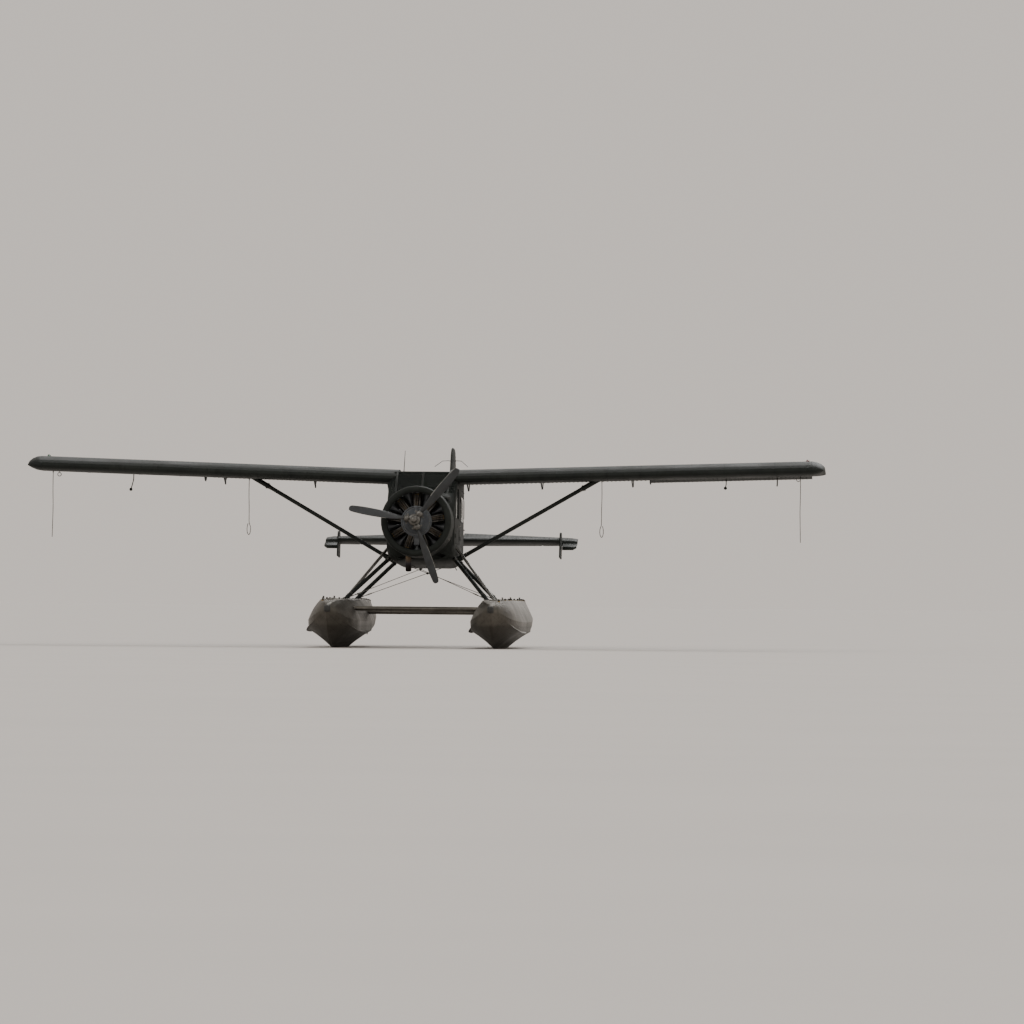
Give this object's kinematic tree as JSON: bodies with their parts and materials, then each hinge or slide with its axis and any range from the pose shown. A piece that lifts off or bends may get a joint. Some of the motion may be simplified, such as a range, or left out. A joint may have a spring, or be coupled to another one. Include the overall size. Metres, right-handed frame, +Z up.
{
  "type": "floatplane",
  "caption": "High-wing utility floatplane with an open-fronted radial engine, strut-braced wing, doors on both sides and twin metal floats on struts and wires.",
  "frame": {"origin": "middle of the overall length and width, on the plane of the floats' keels", "axes": "+Y aft, +X to port, +Z up; the nose points to -Y"},
  "size_m": [14.623, 10.0389, 3.7887],
  "materials": {
    "painted_skin": "dark grey-green enamel over aluminium alloy skin, semi-gloss, weathered",
    "glazing": "clear acrylic glazing",
    "seat_cloth": "dark woven upholstery",
    "panel_black": "matt black crackle paint",
    "engine_metal": "grey enamelled case and dark steel cylinders",
    "steel": "bare and heat-stained steel",
    "blade_paint": "matt black paint on forged aluminium",
    "float_metal": "weathered bare aluminium sheet",
    "rope": "laid mooring rope"
  },
  "bodies": {
    "airframe": {"cabin_shell": "painted_skin", "windshield": "glazing", "instrument_panel": "panel_black", "seat_left": "seat_cloth", "seat_right": "seat_cloth", "rear_bench": "seat_cloth", "tail_cone": "painted_skin", "stabilizer": "painted_skin", "fin": "painted_skin", "engine": "engine_metal", "engine_cowl": "painted_skin", "nose_cowl": "painted_skin", "exhaust_pipe": "steel", "spreader_bar_front": "float_metal", "spreader_bar_rear": "float_metal", "brace_wires_front": "steel", "brace_wires_rear": "steel", "wing_left": "painted_skin", "wing_strut_left": "painted_skin", "rear_window_left": "glazing", "finlet_left": "painted_skin", "float_left": "float_metal", "ladder_left": "float_metal", "front_float_strut_left": "painted_skin", "rear_float_strut_left": "painted_skin", "rope_outer_left": "rope", "rope_inner_left": "rope", "wing_right": "painted_skin", "wing_strut_right": "painted_skin", "rear_window_right": "glazing", "finlet_right": "painted_skin", "float_right": "float_metal", "ladder_right": "float_metal", "front_float_strut_right": "painted_skin", "rear_float_strut_right": "painted_skin", "rope_outer_right": "rope", "rope_inner_right": "rope"},
    "flap_left": {"flap_left": "painted_skin"},
    "aileron_left": {"aileron_left": "painted_skin"},
    "elevator_left": {"elevator_left": "painted_skin"},
    "flap_right": {"flap_right": "painted_skin"},
    "aileron_right": {"aileron_right": "painted_skin"},
    "elevator_right": {"elevator_right": "painted_skin"},
    "rudder": {"rudder": "painted_skin"},
    "water_rudder_left": {"water_rudder_left": "float_metal"},
    "water_rudder_right": {"water_rudder_right": "float_metal"},
    "cockpit_door_left": {"cockpit_door_left": "painted_skin", "cockpit_door_glass_left": "glazing"},
    "cockpit_door_right": {"cockpit_door_right": "painted_skin", "cockpit_door_glass_right": "glazing"},
    "cabin_door_left": {"cabin_door_left": "painted_skin", "cabin_door_glass_left": "glazing"},
    "cabin_door_right": {"cabin_door_right": "painted_skin", "cabin_door_glass_right": "glazing"},
    "propeller": {"propeller": "blade_paint"}
  },
  "joints": [
    {"name": "propeller_spin", "type": "hinge", "parent": "airframe", "child": "propeller", "pos_m": [0, -3.92603, 2.30897], "axis": [0, 0.9986, -0.0523], "continuous": true},
    {"name": "flap_left_hinge", "type": "hinge", "parent": "airframe", "child": "flap_left", "pos_m": [2.09305, -1.01696, 2.9413], "axis": [-0.9995, -0.0016, -0.0314], "range_deg": [0, 50]},
    {"name": "aileron_left_hinge", "type": "hinge", "parent": "airframe", "child": "aileron_left", "pos_m": [5.49605, -1.0025, 3.21729], "axis": [0.9995, 0.0016, 0.0314], "range_deg": [-12, 28]},
    {"name": "elevator_left_hinge", "type": "hinge", "parent": "airframe", "child": "elevator_left", "pos_m": [1.2, 4.06771, 1.98016], "axis": [1, 0, 0], "range_deg": [-38, 8]},
    {"name": "flap_right_hinge", "type": "hinge", "parent": "airframe", "child": "flap_right", "pos_m": [-2.09305, -1.01696, 2.9413], "axis": [-0.9995, 0.0016, 0.0314], "range_deg": [0, 50]},
    {"name": "aileron_right_hinge", "type": "hinge", "parent": "airframe", "child": "aileron_right", "pos_m": [-5.49605, -1.0025, 3.21729], "axis": [0.9995, -0.0016, -0.0314], "range_deg": [-28, 12]},
    {"name": "elevator_right_hinge", "type": "hinge", "parent": "airframe", "child": "elevator_right", "pos_m": [-1.2, 4.06771, 1.98016], "axis": [1, 0, 0], "range_deg": [-38, 8]},
    {"name": "rudder_hinge", "type": "hinge", "parent": "airframe", "child": "rudder", "pos_m": [0, 4.35558, 2.69608], "axis": [0, 0.0523, 0.9986], "range_deg": [-25, 25]},
    {"name": "water_rudder_left_post", "type": "hinge", "parent": "airframe", "child": "water_rudder_left", "pos_m": [1.465, 2.4455, 0.72], "axis": [0, 0, 1], "range_deg": [-30, 30]},
    {"name": "water_rudder_right_post", "type": "hinge", "parent": "airframe", "child": "water_rudder_right", "pos_m": [-1.465, 2.4455, 0.72], "axis": [0, 0, 1], "range_deg": [-30, 30]},
    {"name": "cockpit_door_left_hinge", "type": "hinge", "parent": "airframe", "child": "cockpit_door_left", "pos_m": [0.63, -2.55139, 2.45723], "axis": [0, -0.0523, -0.9986], "range_deg": [0, 82]},
    {"name": "cockpit_door_right_hinge", "type": "hinge", "parent": "airframe", "child": "cockpit_door_right", "pos_m": [-0.63, -2.55139, 2.45723], "axis": [0, 0.0523, 0.9986], "range_deg": [0, 82]},
    {"name": "cabin_door_left_hinge", "type": "hinge", "parent": "airframe", "child": "cabin_door_left", "pos_m": [0.641, -1.6676, 2.41092], "axis": [0, -0.0523, -0.9986], "range_deg": [0, 82]},
    {"name": "cabin_door_right_hinge", "type": "hinge", "parent": "airframe", "child": "cabin_door_right", "pos_m": [-0.641, -1.6676, 2.41092], "axis": [0, 0.0523, 0.9986], "range_deg": [0, 82]}
  ],
  "couplings": [
    {"joint": "water_rudder_left_post", "follows": "rudder_hinge", "ratio": 1.2},
    {"joint": "water_rudder_right_post", "follows": "rudder_hinge", "ratio": 1.2},
    {"joint": "flap_right_hinge", "follows": "flap_left_hinge", "ratio": 1},
    {"joint": "aileron_right_hinge", "follows": "aileron_left_hinge", "ratio": -1},
    {"joint": "elevator_right_hinge", "follows": "elevator_left_hinge", "ratio": 1}
  ]
}
